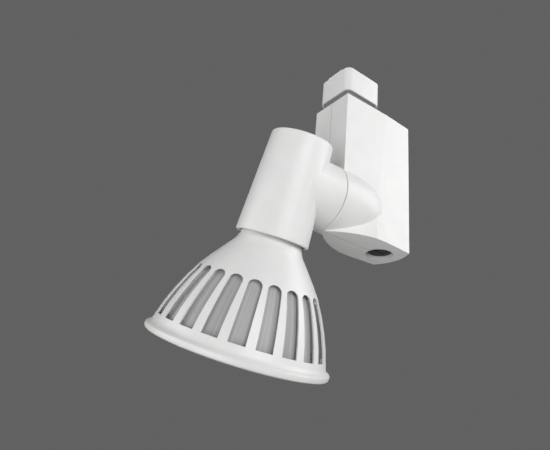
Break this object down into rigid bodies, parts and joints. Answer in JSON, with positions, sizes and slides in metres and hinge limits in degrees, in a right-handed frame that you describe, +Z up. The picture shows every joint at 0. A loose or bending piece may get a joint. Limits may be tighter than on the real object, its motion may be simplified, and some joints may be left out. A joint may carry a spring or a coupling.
{
  "type": "track spotlight",
  "caption": "Track spotlight: a box adapter with a track connector and dimmer, and a tilting barrel lampholder with a slotted reflector lamp.",
  "frame": {"origin": "middle of the flat top of the contact carrier on the track connector, which bears on the inside of the track", "axes": "+Z up, out of the connector into the track; +X along the housing from its narrow front, where the lampholder is, to its rear; +Y across the housing, the side that the lamp leans to at rest"},
  "size_m": [0.1595, 0.1234, 0.2333],
  "materials": {
    "white_metal": "satin",
    "white_plastic": "satin",
    "grey_plastic": "satin",
    "black_plastic": "matte",
    "ceramic": "matte",
    "brass": "bright",
    "copper": "bright",
    "steel": "zinc plated",
    "heat_sink": "satin",
    "lens": "clear",
    "emitter": "gloss",
    "board": "matte",
    "black_wire": "matte",
    "white_wire": "matte",
    "fibre": "matte"
  },
  "bodies": {
    "connector": {"connector_head": "white_plastic", "contact_carrier": "white_plastic", "blade_live": "copper", "blade_neutral": "copper", "blade_ground": "copper", "neck_collar": "grey_plastic", "pan_washer": "steel", "pan_nut": "steel"},
    "housing": {"shell_near": "white_metal", "shell_far": "white_metal", "shell_screw_top": "steel", "shell_screw_rear": "steel", "terminal_block": "ceramic", "terminal_screw_live": "brass", "terminal_screw_neutral": "brass", "lead_supply_live": "black_wire", "lead_supply_neutral": "white_wire", "lead_load_live": "black_wire", "lead_load_neutral": "white_wire", "dimmer_body": "black_plastic", "dimmer_bushing": "white_plastic"},
    "knob": {"dimmer_knob": "black_plastic"},
    "lampholder": {"barrel": "white_metal", "tilt_bolt": "steel", "friction_washer": "fibre", "flat_washer": "steel", "wave_washer": "steel", "tilt_nut": "steel", "socket_body": "ceramic", "screw_shell": "brass", "centre_contact": "brass", "socket_strap": "steel", "socket_screw_near": "steel", "socket_screw_far": "steel", "lead_socket_live": "black_wire", "lead_socket_neutral": "white_wire"},
    "lamp": {"lamp_shell": "white_plastic", "lamp_core": "heat_sink", "lens_ring": "white_plastic", "front_lens": "lens", "circuit_board": "white_plastic", "emitter_1": "emitter", "emitter_2": "emitter", "emitter_3": "emitter", "emitter_4": "emitter", "board_screw_near": "steel", "board_screw_far": "steel", "driver_cup": "white_plastic", "driver_board": "board", "driver_capacitor": "black_plastic", "driver_coil": "black_plastic", "base_shell": "steel", "base_insulator": "black_plastic", "base_contact": "brass"}
  },
  "joints": [
    {"name": "pan", "type": "hinge", "parent": "connector", "child": "housing", "pos_m": [0, 0, -0.0284], "axis": [0, 0, 1], "range_deg": [-175, 175]},
    {"name": "tilt", "type": "hinge", "parent": "housing", "child": "lampholder", "pos_m": [-0.0192, 0, -0.1077], "axis": [1, 0, 0], "range_deg": [-110.4, 69.6]},
    {"name": "dim", "type": "hinge", "parent": "housing", "child": "knob", "pos_m": [0.0346, 0, -0.1321], "axis": [0, 0, 1], "range_deg": [0, 270]},
    {"name": "lamp_turn", "type": "hinge", "parent": "lampholder", "child": "lamp", "pos_m": [-0.0493, 0, -0.1077], "axis": [0, 0.3486, -0.9373], "range_deg": [0, 360]}
  ]
}
